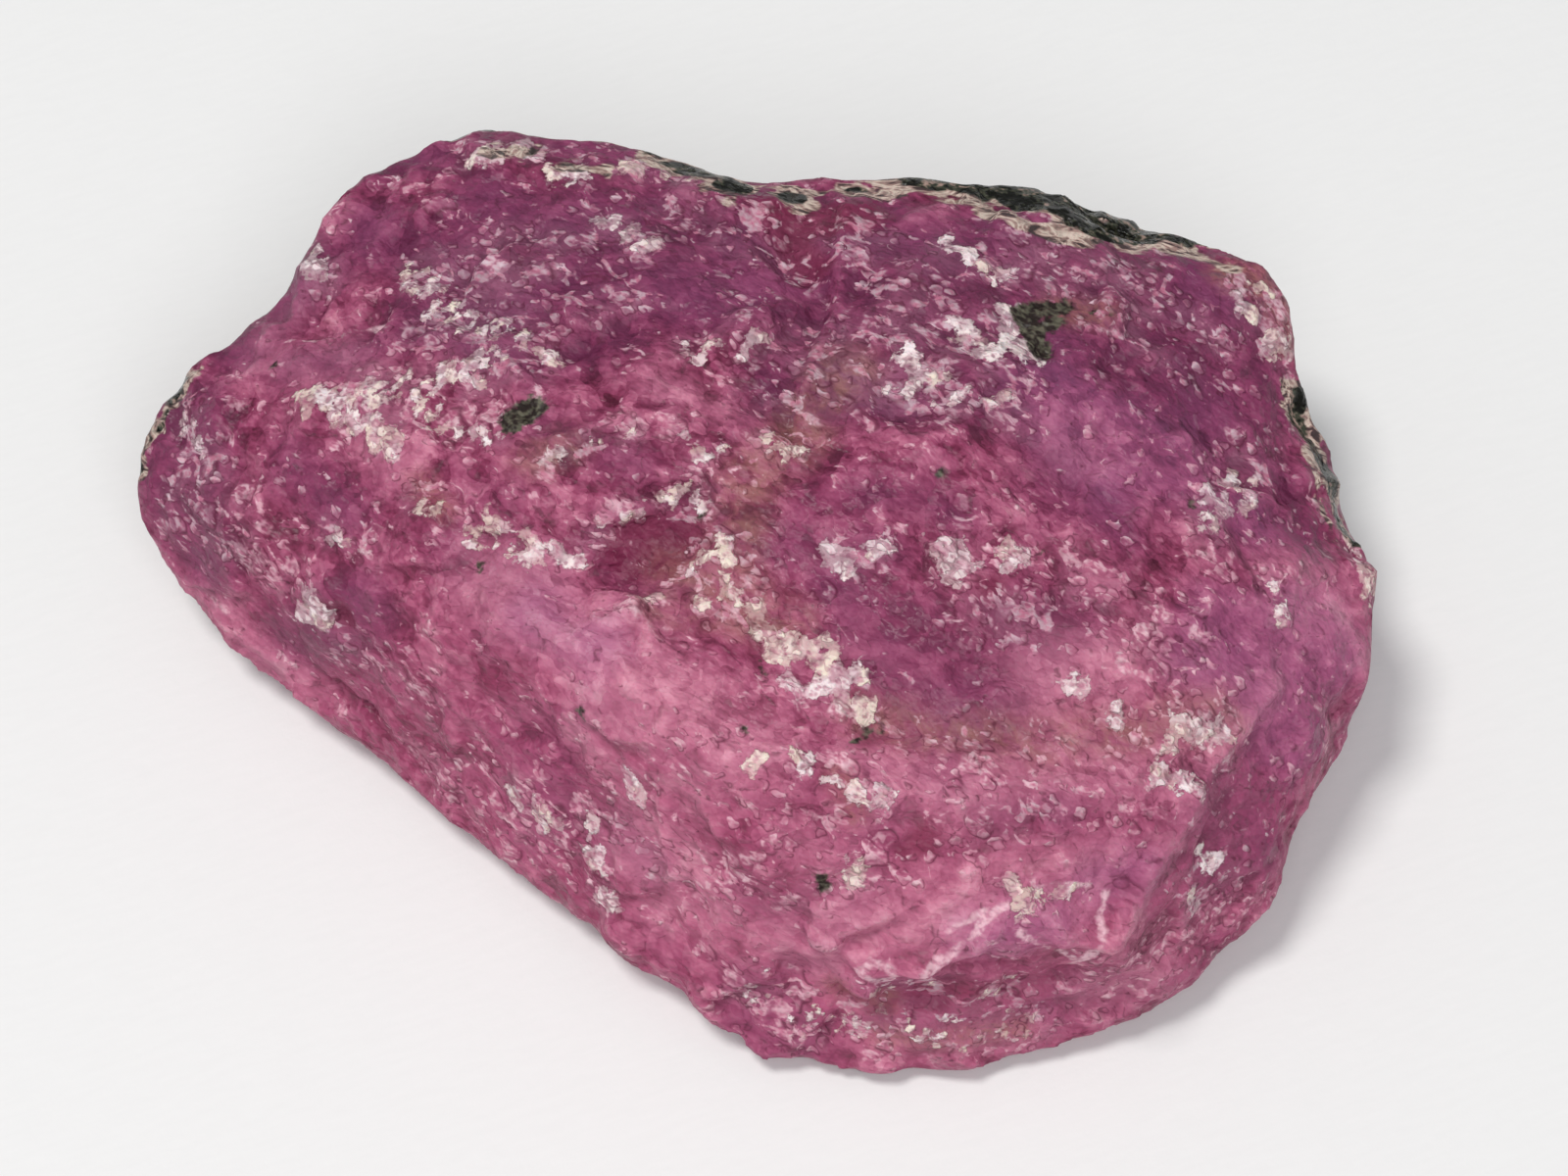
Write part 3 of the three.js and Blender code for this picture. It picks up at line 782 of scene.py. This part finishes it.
def makeShards():
    # broken crystal facets, Size mm wide: a Draw for each, and how far off its Rim is in mm
    tree, given, result = newGroup("shards", (
        ("Place", "in", "Vector", None), ("Size", "in", "Float", 1.0), ("Warp", "in", "Float", 0.2),
        ("Draw", "out", "Float", None), ("Rim", "out", "Float", None),
    ))
    cells, place = warpedCells(tree, given)
    scale = calculate(tree, "DIVIDE", 1.0, given["Size"])
    rims = addNode(tree, "TexVoronoi", {"Vector": place, "Scale": scale}, feature="DISTANCE_TO_EDGE")
    tree.links.new(addNode(tree, "SeparateColor", {0: cells["Color"]}).outputs[0], result["Draw"])
    tree.links.new(times(tree, rims.outputs["Distance"], given["Size"]), result["Rim"])
    return tree


def makeChips():
    # small chips, Size mm wide: the Body of each and a Draw for it, the Mask of the Share that
    # stands out pale with a painted highlight on its rising side, the painted Shade round those on their
    # sunken side, and the Height in mm of a face that tilts its own way
    tree, given, result = newGroup("chips", (
        ("Place", "in", "Vector", None), ("Size", "in", "Float", 0.5), ("Warp", "in", "Float", 0.1),
        ("Share", "in", "Float", 0.3), ("Mask", "out", "Float", None), ("Shade", "out", "Float", None),
        ("Body", "out", "Float", None), ("Draw", "out", "Float", None), ("Height", "out", "Float", None),
    ))
    cells, place = warpedCells(tree, given)
    draw = addNode(tree, "SeparateColor", {0: cells["Color"]}).outputs
    held = ranged(tree, calculate(tree, "SUBTRACT", given["Share"], draw[0]), 0.0, 0.08)
    reach = ranged(tree, draw[1], 0.0, 1.0, 0.3, 0.62)
    inside = calculate(tree, "SUBTRACT", reach, cells["Distance"])
    body = ranged(tree, inside, 0.0, 0.12, smooth=True)
    fromEdge = calculate(tree, "ABSOLUTE", add(tree, inside, 0.04), 0.0)
    ring = ranged(tree, fromEdge, 0.0, 0.12, 1.0, 0.0)
    height = tiltedHeight(tree, cells, place)
    rise = calculate(tree, "DIVIDE", height, given["Size"])
    # painted shade on a chip's sunken side
    paintedShadeSide = ranged(tree, rise, -0.08, 0.07, 1.0, 0.0)
    paintedLitSide = ranged(tree, rise, -0.1, 0.06, 0.25, 1.0)  # painted highlight: a chip is palest on the side that rises
    tree.links.new(times(tree, ring, held, paintedShadeSide), result["Shade"])
    paleness = times(tree, ranged(tree, draw[2], 0.0, 1.0, 0.35, 1.0), paintedLitSide)
    tree.links.new(times(tree, body, held, paleness), result["Mask"])
    tree.links.new(body, result["Body"])
    tree.links.new(draw[2], result["Draw"])
    tree.links.new(height, result["Height"])
    return tree


def makeRaggedEdge():
    # a patch with a crumbly rim, from how deep a place lies inside it; all sizes in mm
    tree, given, result = newGroup("raggedEdge", (
        ("Inside", "in", "Float", 0.0), ("Place", "in", "Vector", None), ("Ragged", "in", "Float", 0.1),
        ("Size", "in", "Float", 0.3), ("Soft", "in", "Float", 0.05), ("Mask", "out", "Float", None),
    ))
    crumble = cloud(tree, given["Place"], given["Size"], 2.0)["Fac"]
    push = times(tree, calculate(tree, "SUBTRACT", crumble, 0.5), given["Ragged"], 4.0)
    edge = add(tree, given["Inside"], push)
    low = times(tree, given["Soft"], -1.0)
    tree.links.new(ranged(tree, edge, low, given["Soft"], smooth=True), result["Mask"])
    return tree


mottle = makeMottle()
shards = makeShards()
chips = makeChips()
raggedEdge = makeRaggedEdge()


def newMaterial(name):
    material = bpy.data.materials.new(name)
    material.use_nodes = True
    tree = material.node_tree
    tree.nodes.clear()
    place = addNode(tree, "TexCoord").outputs["Object"]
    place = vectors(tree, "SCALE", place, 1 / mm)  # in mm from here on
    surface = addNode(tree, "BsdfPrincipled")
    addNode(tree, "OutputMaterial", {"Surface": surface.outputs[0]})
    return material, tree, place, surface


def attribute(tree, name):
    return addNode(tree, "Attribute", attribute_name=name).outputs["Fac"]


def stretched(tree, place, turn, length):
    # the same places along a direction that is turned by so many degrees, where patterns run longer
    inputs = {"Vector": place, "Rotation": (0, 0, math.radians(turn)), "Scale": (length, 1, 1)}
    return addNode(tree, "Mapping", inputs, vector_type="TEXTURE").outputs[0]


rubyFinish = {
    "crimson": (0.085, 0.008, 0.027, 1),
    "garnet": (0.18, 0.016, 0.05, 1),
    "wine": (0.210, 0.028, 0.078, 1),
    "magenta": (0.330, 0.064, 0.142, 1),
    "pink": (0.46, 0.122, 0.218, 1),
    "rose": (0.61, 0.215, 0.318, 1),
    "blush": (0.77, 0.36, 0.465, 1),
    "violet": (0.215, 0.044, 0.125, 1),
    "mauve": (0.30, 0.125, 0.19, 1),
    "rosy": (0.56, 0.125, 0.235, 1),
    "orchid": (0.33, 0.10, 0.24, 1),
    "flake": (0.85, 0.55, 0.62, 1),
    "paintedShadeFlake": (0.66, 0.50, 0.56, 1),
    "chalk": (0.94, 0.81, 0.83, 1),
    "cream": (0.90, 0.78, 0.64, 1),
    "grit": (0.45, 0.20, 0.24, 1),
    "olive": (0.33, 0.165, 0.12, 1),
    "rust": (0.36, 0.145, 0.125, 1),
    "seamDark": (0.045, 0.040, 0.034, 1),
    "seamTan": (0.40, 0.27, 0.23, 1),
    "seamCream": (0.72, 0.61, 0.51, 1),
    "darkGrain": (0.024, 0.015, 0.013, 1),
    "grainGreen": (0.13, 0.12, 0.085, 1),
    "rind": (0.006, 0.006, 0.004, 1),
    "rindEdge": (0.06, 0.062, 0.042, 1),
    "grainTurn": -32,        # degrees, the way the crystal's flakes run
    "grainStretch": 1.4,     # how much longer its patterns are that way
    "mottleSizes": (2.6, 0.9, 0.24),   # mm, broad, middle and fine
    "shardSize": 1.6,        # mm
    "lumpSize": 0.95,        # mm
    "fleckSize": 0.43,       # mm
    "lumpShare": 0.12,       # the higher, the more lumps stand out pale
    "fleckShare": 0.26,      # the same for flecks
    "baseTone": -0.135,      # the higher, the paler the whole stone
    "widestGape": 0.07,      # mm, half-width of the widest crevice of painted shade
    "roughness": (0.36, 0.6),
    "specular": 0.24,
    "glow": 0.15,            # share of the light that goes into the stone
    "glowColours": (1.0, 0.35, 0.5),
    "glowDepth": 0.0008,     # m
}
rubyTones = ((0.12, "crimson"), (0.30, "wine"), (0.46, "magenta"), (0.62, "pink"), (0.80, "rose"),
             (0.98, "blush"))
seamTones = ((0.24, "seamDark"), (0.40, "seamTan"), (0.52, "seamCream"), (0.64, "seamTan"),
             (0.76, "seamDark"))
rindTones = ((0.45, "rind"), (0.64, "rindEdge"), (0.82, "seamTan"))
patchEdges = {               # raggedness, size of the crumbling and softness, all in mm
    "vein": (0.07, 0.3, 0.1),
    "feldspar": (0.10, 0.2, 0.04),
    "seam": (0.25, 0.5, 0.1),
    "rind": (0.2, 0.6, 0.08),
    "darkGrain": (0.17, 0.35, 0.12),
}


def finishTones(tree, value, tones):
    return ramped(tree, value, *((position, rubyFinish[name]) for position, name in tones))


def overlaid(tree, mask, colour, name):
    return mixed(tree, mask, colour, rubyFinish[name])


def patchMask(tree, name, place):
    # the mask of another mineral, from the attribute of that name
    ragged, size, soft = patchEdges[name]
    patch = useGroup(tree, raggedEdge, Inside=attribute(tree, name), Place=place, Ragged=ragged,
                     Size=size, Soft=soft)
    return patch["Mask"]


def crystalGrain(tree, place):
    # the patterns that the ruby's colours, flakes and relief share
    finish = rubyFinish
    grainwise = stretched(tree, place, finish["grainTurn"], finish["grainStretch"])
    broadSize, middleSize, fineSize = finish["mottleSizes"]
    broad = useGroup(tree, mottle, Place=place, Size=broadSize, Swirl=0.5)["Value"]
    middle = useGroup(tree, mottle, Place=grainwise, Size=middleSize, Detail=3.0, Swirl=0.8)["Value"]
    fine = useGroup(tree, mottle, Place=grainwise, Size=fineSize, Detail=1.0)["Value"]
    smooth = times(tree, attribute(tree, "pale"), 0.5)
    flaky = calculate(tree, "SUBTRACT", attribute(tree, "flaky"), smooth)
    cluster = add(tree, times(tree, flaky, 0.42), ranged(tree, middle, 0.2, 0.9, -0.38, 0.26),
                  ranged(tree, broad, 0.2, 0.8, -0.12, 0.10))
    shard = useGroup(tree, shards, Place=grainwise, Size=finish["shardSize"], Warp=0.35)
    lump = useGroup(tree, chips, Place=grainwise, Size=finish["lumpSize"], Warp=0.2,
                    Share=add(tree, cluster, finish["lumpShare"]))
    fleck = useGroup(tree, chips, Place=grainwise, Size=finish["fleckSize"], Warp=0.09,
                     Share=add(tree, cluster, finish["fleckShare"]))
    return {"broad": broad, "middle": middle, "fine": fine, "flaky": flaky, "shard": shard,
            "lump": lump, "fleck": fleck}


def rubyColour(tree, place, grain):
    # the ruby itself, with its violet, rosy, orchid, red and stained places, and painted light: lit
    # crests and bottom edge, shaded hollows, dips and top edge
    broad, middle, fine = grain["broad"], grain["middle"], grain["fine"]
    pale = attribute(tree, "pale")
    paintedShade = attribute(tree, "paintedShade")
    # painted light in the tone: lighter on crests, darker in the dips and in the painted shade
    tone = add(tree, times(tree, grain["shard"]["Draw"], 0.20), times(tree, grain["lump"]["Draw"], 0.20),
               times(tree, grain["fleck"]["Draw"], 0.18), times(tree, broad, 0.14),
               times(tree, middle, 0.32), times(tree, fine, 0.14),
               times(tree, attribute(tree, "paintedCrestLight"), 0.15), times(tree, pale, 0.22),
               times(tree, paintedShade, -0.18), rubyFinish["baseTone"])
    colour = finishTones(tree, tone, rubyTones)
    violet = useGroup(tree, mottle, Place=place, Size=5.5, Detail=1.0)["Value"]
    # violet in random cloudy places, and more of it in the painted shade
    violet = add(tree, times(tree, ranged(tree, violet, 0.45, 0.95), 0.35), times(tree, paintedShade, 0.45))
    colour = overlaid(tree, violet, colour, "violet")
    colour = overlaid(tree, times(tree, pale, 0.18), colour, "blush")
    paintedTopShade = attribute(tree, "paintedTopShade")
    # rosier towards the bottom edge as painted light, and in the places that are really redder
    rosy = add(tree, ranged(tree, paintedTopShade, 0.0, 1.0, 0.19, 0.0), times(tree, attribute(tree, "ruddy"), 0.3))
    colour = overlaid(tree, rosy, colour, "rosy")
    colour = overlaid(tree, times(tree, attribute(tree, "orchid"), 0.35), colour, "orchid")
    # mauve haze in the flaky places, growing towards the top edge as painted shade
    haze = times(tree, ranged(tree, grain["flaky"], 0.2, 1.0), ranged(tree, broad, 0.3, 0.8),
                 ranged(tree, paintedTopShade, 0.0, 1.0, 0.15, 0.42))
    colour = overlaid(tree, haze, colour, "mauve")
    # garnet in the clear red spots, which also darkens the hollows as painted shade
    colour = overlaid(tree, times(tree, attribute(tree, "crimson"), 0.6), colour, "garnet")
    olive = times(tree, attribute(tree, "olive"), ranged(tree, middle, 0.2, 0.8, 0.1, 0.6))
    colour = overlaid(tree, olive, colour, "olive")
    brown = times(tree, attribute(tree, "brown"), ranged(tree, fine, 0.1, 0.8, 0.3, 0.9))
    return overlaid(tree, times(tree, brown, 0.75), colour, "rust")


def withFlakes(tree, colour, grain):
    # pale flakes follow the rims of the shards, partly as painted highlights, with painted shade in the
    # crevices where they gape and round the chips
    middle, fine, lump, fleck = grain["middle"], grain["fine"], grain["lump"], grain["fleck"]
    rim = grain["shard"]["Rim"]
    rimWidth = times(tree, add(tree, middle, times(tree, grain["flaky"], 0.25), -0.72), 0.7)
    rimWidth = calculate(tree, "MINIMUM", rimWidth, 0.2)
    # pale slivers along the shard rims, partly painted highlight
    rimFlakeAndHighlight = ranged(tree, calculate(tree, "SUBTRACT", rimWidth, rim), 0.0, 0.12, smooth=True)
    lumpFlake = times(tree, lump["Mask"], ranged(tree, fine, 0.2, 0.6, 0.25, 1.0))
    fleckFlake = times(tree, fleck["Mask"], ranged(tree, fine, 0.1, 0.4, 0.6, 1.0))
    # pale flakes, with painted highlights on the chips' rising sides and along the shard rims
    flake = calculate(tree, "MAXIMUM", times(tree, rimFlakeAndHighlight, 0.7), lumpFlake, fleckFlake)
    gape = times(tree, calculate(tree, "SUBTRACT", 0.42, middle), 0.5)
    gape = calculate(tree, "MINIMUM", gape, rubyFinish["widestGape"])
    # painted shade in the crevices
    paintedCreviceShade = ranged(tree, calculate(tree, "SUBTRACT", gape, rim), 0.0, 0.12, smooth=True)
    # painted shadows round the chips
    paintedChipShadows = times(tree, calculate(tree, "MAXIMUM", lump["Shade"], fleck["Shade"]), 0.8)
    paintedCreviceShade = calculate(tree, "MAXIMUM", paintedCreviceShade, paintedChipShadows)
    colour = overlaid(tree, times(tree, paintedCreviceShade, 0.85), colour, "crimson")
    # flakes in the painted shade are duller
    flakeColour = mixed(tree, attribute(tree, "paintedShade"), rubyFinish["flake"], rubyFinish["paintedShadeFlake"])
    flakeColour = mixed(tree, ranged(tree, fine, 0.2, 0.8, 0.0, 0.9), rubyFinish["rose"], flakeColour)
    colour = mixed(tree, flake, colour, flakeColour)
    vein = times(tree, grain["vein"], ranged(tree, fine, 0.1, 0.6, 0.25, 0.8))
    return overlaid(tree, vein, colour, "flake")


def withFeldspar(tree, colour, grain, crumb):
    chalk = mixed(tree, attribute(tree, "cream"), rubyFinish["chalk"], rubyFinish["cream"])
    chalk = overlaid(tree, ranged(tree, grain["fine"], 0.75, 0.2, 0.0, 0.4), chalk, "flake")
    chalk = overlaid(tree, ranged(tree, grain["fleck"]["Draw"], 0.0, 0.4, 0.6, 0.0), chalk, "grit")
    return mixed(tree, times(tree, crumb, attribute(tree, "chalk")), colour, chalk)


def withMatrix(tree, colour, grain, edgewise, rind):
    # the cream seam, the dark rind beyond it, and the dark grains inside the ruby
    middle, fine = grain["middle"], grain["fine"]
    streak = useGroup(tree, mottle, Place=edgewise, Size=0.75, Detail=3.0, Swirl=1.2)["Value"]
    seam = times(tree, patchMask(tree, "seam", edgewise), 0.9)
    colour = mixed(tree, seam, colour, finishTones(tree, streak, seamTones))
    speck = add(tree, times(tree, middle, 0.6), times(tree, fine, 0.4))
    colour = mixed(tree, rind, colour, finishTones(tree, speck, rindTones))
    darkColour = overlaid(tree, ranged(tree, fine, 0.3, 0.9), rubyFinish["darkGrain"], "grainGreen")
    return mixed(tree, grain["dark"], colour, darkColour)


def makeRuby():
    finish = rubyFinish
    material, tree, place, surface = newMaterial("ruby_rough")
    grain = crystalGrain(tree, place)
    grain["vein"] = patchMask(tree, "vein", place)
    grain["dark"] = patchMask(tree, "darkGrain", place)
    fine, lump, fleck = grain["fine"], grain["lump"], grain["fleck"]
    whole = ranged(tree, attribute(tree, "chalk"), 0.84, 1.0)  # the chalkier crumbs have no gaps
    gaps = ranged(tree, calculate(tree, "MAXIMUM", fleck["Body"], whole), 0.0, 1.0, 0.45, 1.0)
    crumb = times(tree, patchMask(tree, "feldspar", place), ranged(tree, fine, 0.05, 0.4, 0.4, 1.0), gaps)
    edgewise = stretched(tree, place, -8, 2.6)  # along the back edge
    rind = patchMask(tree, "rind", edgewise)

    colour = rubyColour(tree, place, grain)
    colour = withFlakes(tree, colour, grain)
    colour = withFeldspar(tree, colour, grain, crumb)
    colour = withMatrix(tree, colour, grain, edgewise, rind)
    tree.links.new(colour, surface.inputs["Base Color"])

    # feldspar is duller than the ruby, and the rind glossier
    rough = add(tree, ranged(tree, grain["shard"]["Draw"], 0.0, 1.0, *finish["roughness"]),
                times(tree, crumb, 0.15), times(tree, rind, -0.25))
    tree.links.new(rough, surface.inputs["Roughness"])

    height = add(tree, times(tree, fleck["Height"], 0.5), times(tree, lump["Height"], 0.42),
                 times(tree, fleck["Mask"], 0.05), times(tree, fine, 0.03), times(tree, crumb, 0.06))
    bump = addNode(tree, "Bump", {"Height": height, "Distance": 0.001, "Strength": 1.0})
    tree.links.new(bump.outputs["Normal"], surface.inputs["Normal"])

    surface.inputs["Specular IOR Level"].default_value = finish["specular"]
    surface.inputs["Subsurface Weight"].default_value = finish["glow"]
    surface.inputs["Subsurface Radius"].default_value = finish["glowColours"]
    surface.inputs["Subsurface Scale"].default_value = finish["glowDepth"]
    return material


benchFinish = {
    "white": (0.865, 0.86, 0.855, 1),
    "shade": (0.85, 0.845, 0.84, 1),
    "fibreSize": 0.35,       # mm
    "grainSize": 0.6,        # mm
    "grainHeight": 0.01,     # mm
    "roughness": 0.85,
}


def makeBenchTop():
    finish = benchFinish
    material, tree, place, surface = newMaterial("pale_bench")
    fibrewise = stretched(tree, place, 20, 5.0)
    fibre = useGroup(tree, mottle, Place=fibrewise, Size=finish["fibreSize"])["Value"]
    tree.links.new(mixed(tree, fibre, finish["white"], finish["shade"]), surface.inputs["Base Color"])
    grain = useGroup(tree, mottle, Place=place, Size=finish["grainSize"])["Value"]
    height = times(tree, grain, finish["grainHeight"])
    bump = addNode(tree, "Bump", {"Height": height, "Distance": 0.001, "Strength": 0.6})
    tree.links.new(bump.outputs["Normal"], surface.inputs["Normal"])
    surface.inputs["Roughness"].default_value = finish["roughness"]
    return material


mesh.materials.clear()
mesh.materials.append(makeRuby())
print("ruby material made")

studio = {
    "benchSize": 3.0,                                # m
    "worldColour": (0.90, 0.93, 0.96, 1),
    "worldStrength": 0.32,
    "lamps": (                                       # place m, size m, watts, colour
        ((-0.20, -0.03, 0.68), 0.20, 2.52, (1.0, 0.985, 0.965)),
        ((0.05, -0.37, 0.48), 0.40, 1.36, (0.98, 0.99, 1.0)),
    ),
    "sensorWidth": 36,                               # mm
}

bpy.ops.object.select_all(action="DESELECT")
bpy.ops.mesh.primitive_plane_add(size=studio["benchSize"], location=(0, 0, 0))
bench = bpy.context.object
bench.name = "bench"
bench.data.materials.append(makeBenchTop())
bench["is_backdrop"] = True

world = bpy.data.worlds.new("studio")
world.use_nodes = True
background = world.node_tree.nodes["Background"]
background.inputs["Color"].default_value = studio["worldColour"]
background.inputs["Strength"].default_value = studio["worldStrength"]
bpy.context.scene.world = world

for place, size, watts, colour in studio["lamps"]:
    aim = (Vector(boardMiddle * mm) - Vector(place)).to_track_quat("-Z", "Y").to_euler()
    bpy.ops.object.light_add(type="AREA", location=place, rotation=aim)
    lamp = bpy.context.object.data
    lamp.shape = "DISK"
    lamp.size = size
    lamp.energy = watts
    lamp.color = colour

aim = Vector(-towardsEye).to_track_quat("-Z", "Y").to_euler()
bpy.ops.object.camera_add(location=eye * mm, rotation=aim)
camera = bpy.context.object
camera.data.sensor_width = studio["sensorWidth"]
camera.data.lens = studio["sensorWidth"] * board["eyeDistance"] / board["width"]
camera.data.clip_start = 0.01
bpy.context.scene.camera = camera
bpy.context.scene.view_settings.view_transform = "Standard"
print("studio ready")

boxes = {"cad": cadBox, "visual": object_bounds()}
boxes = {name: [list(map(float, corner)) for corner in box] for name, box in boxes.items()}
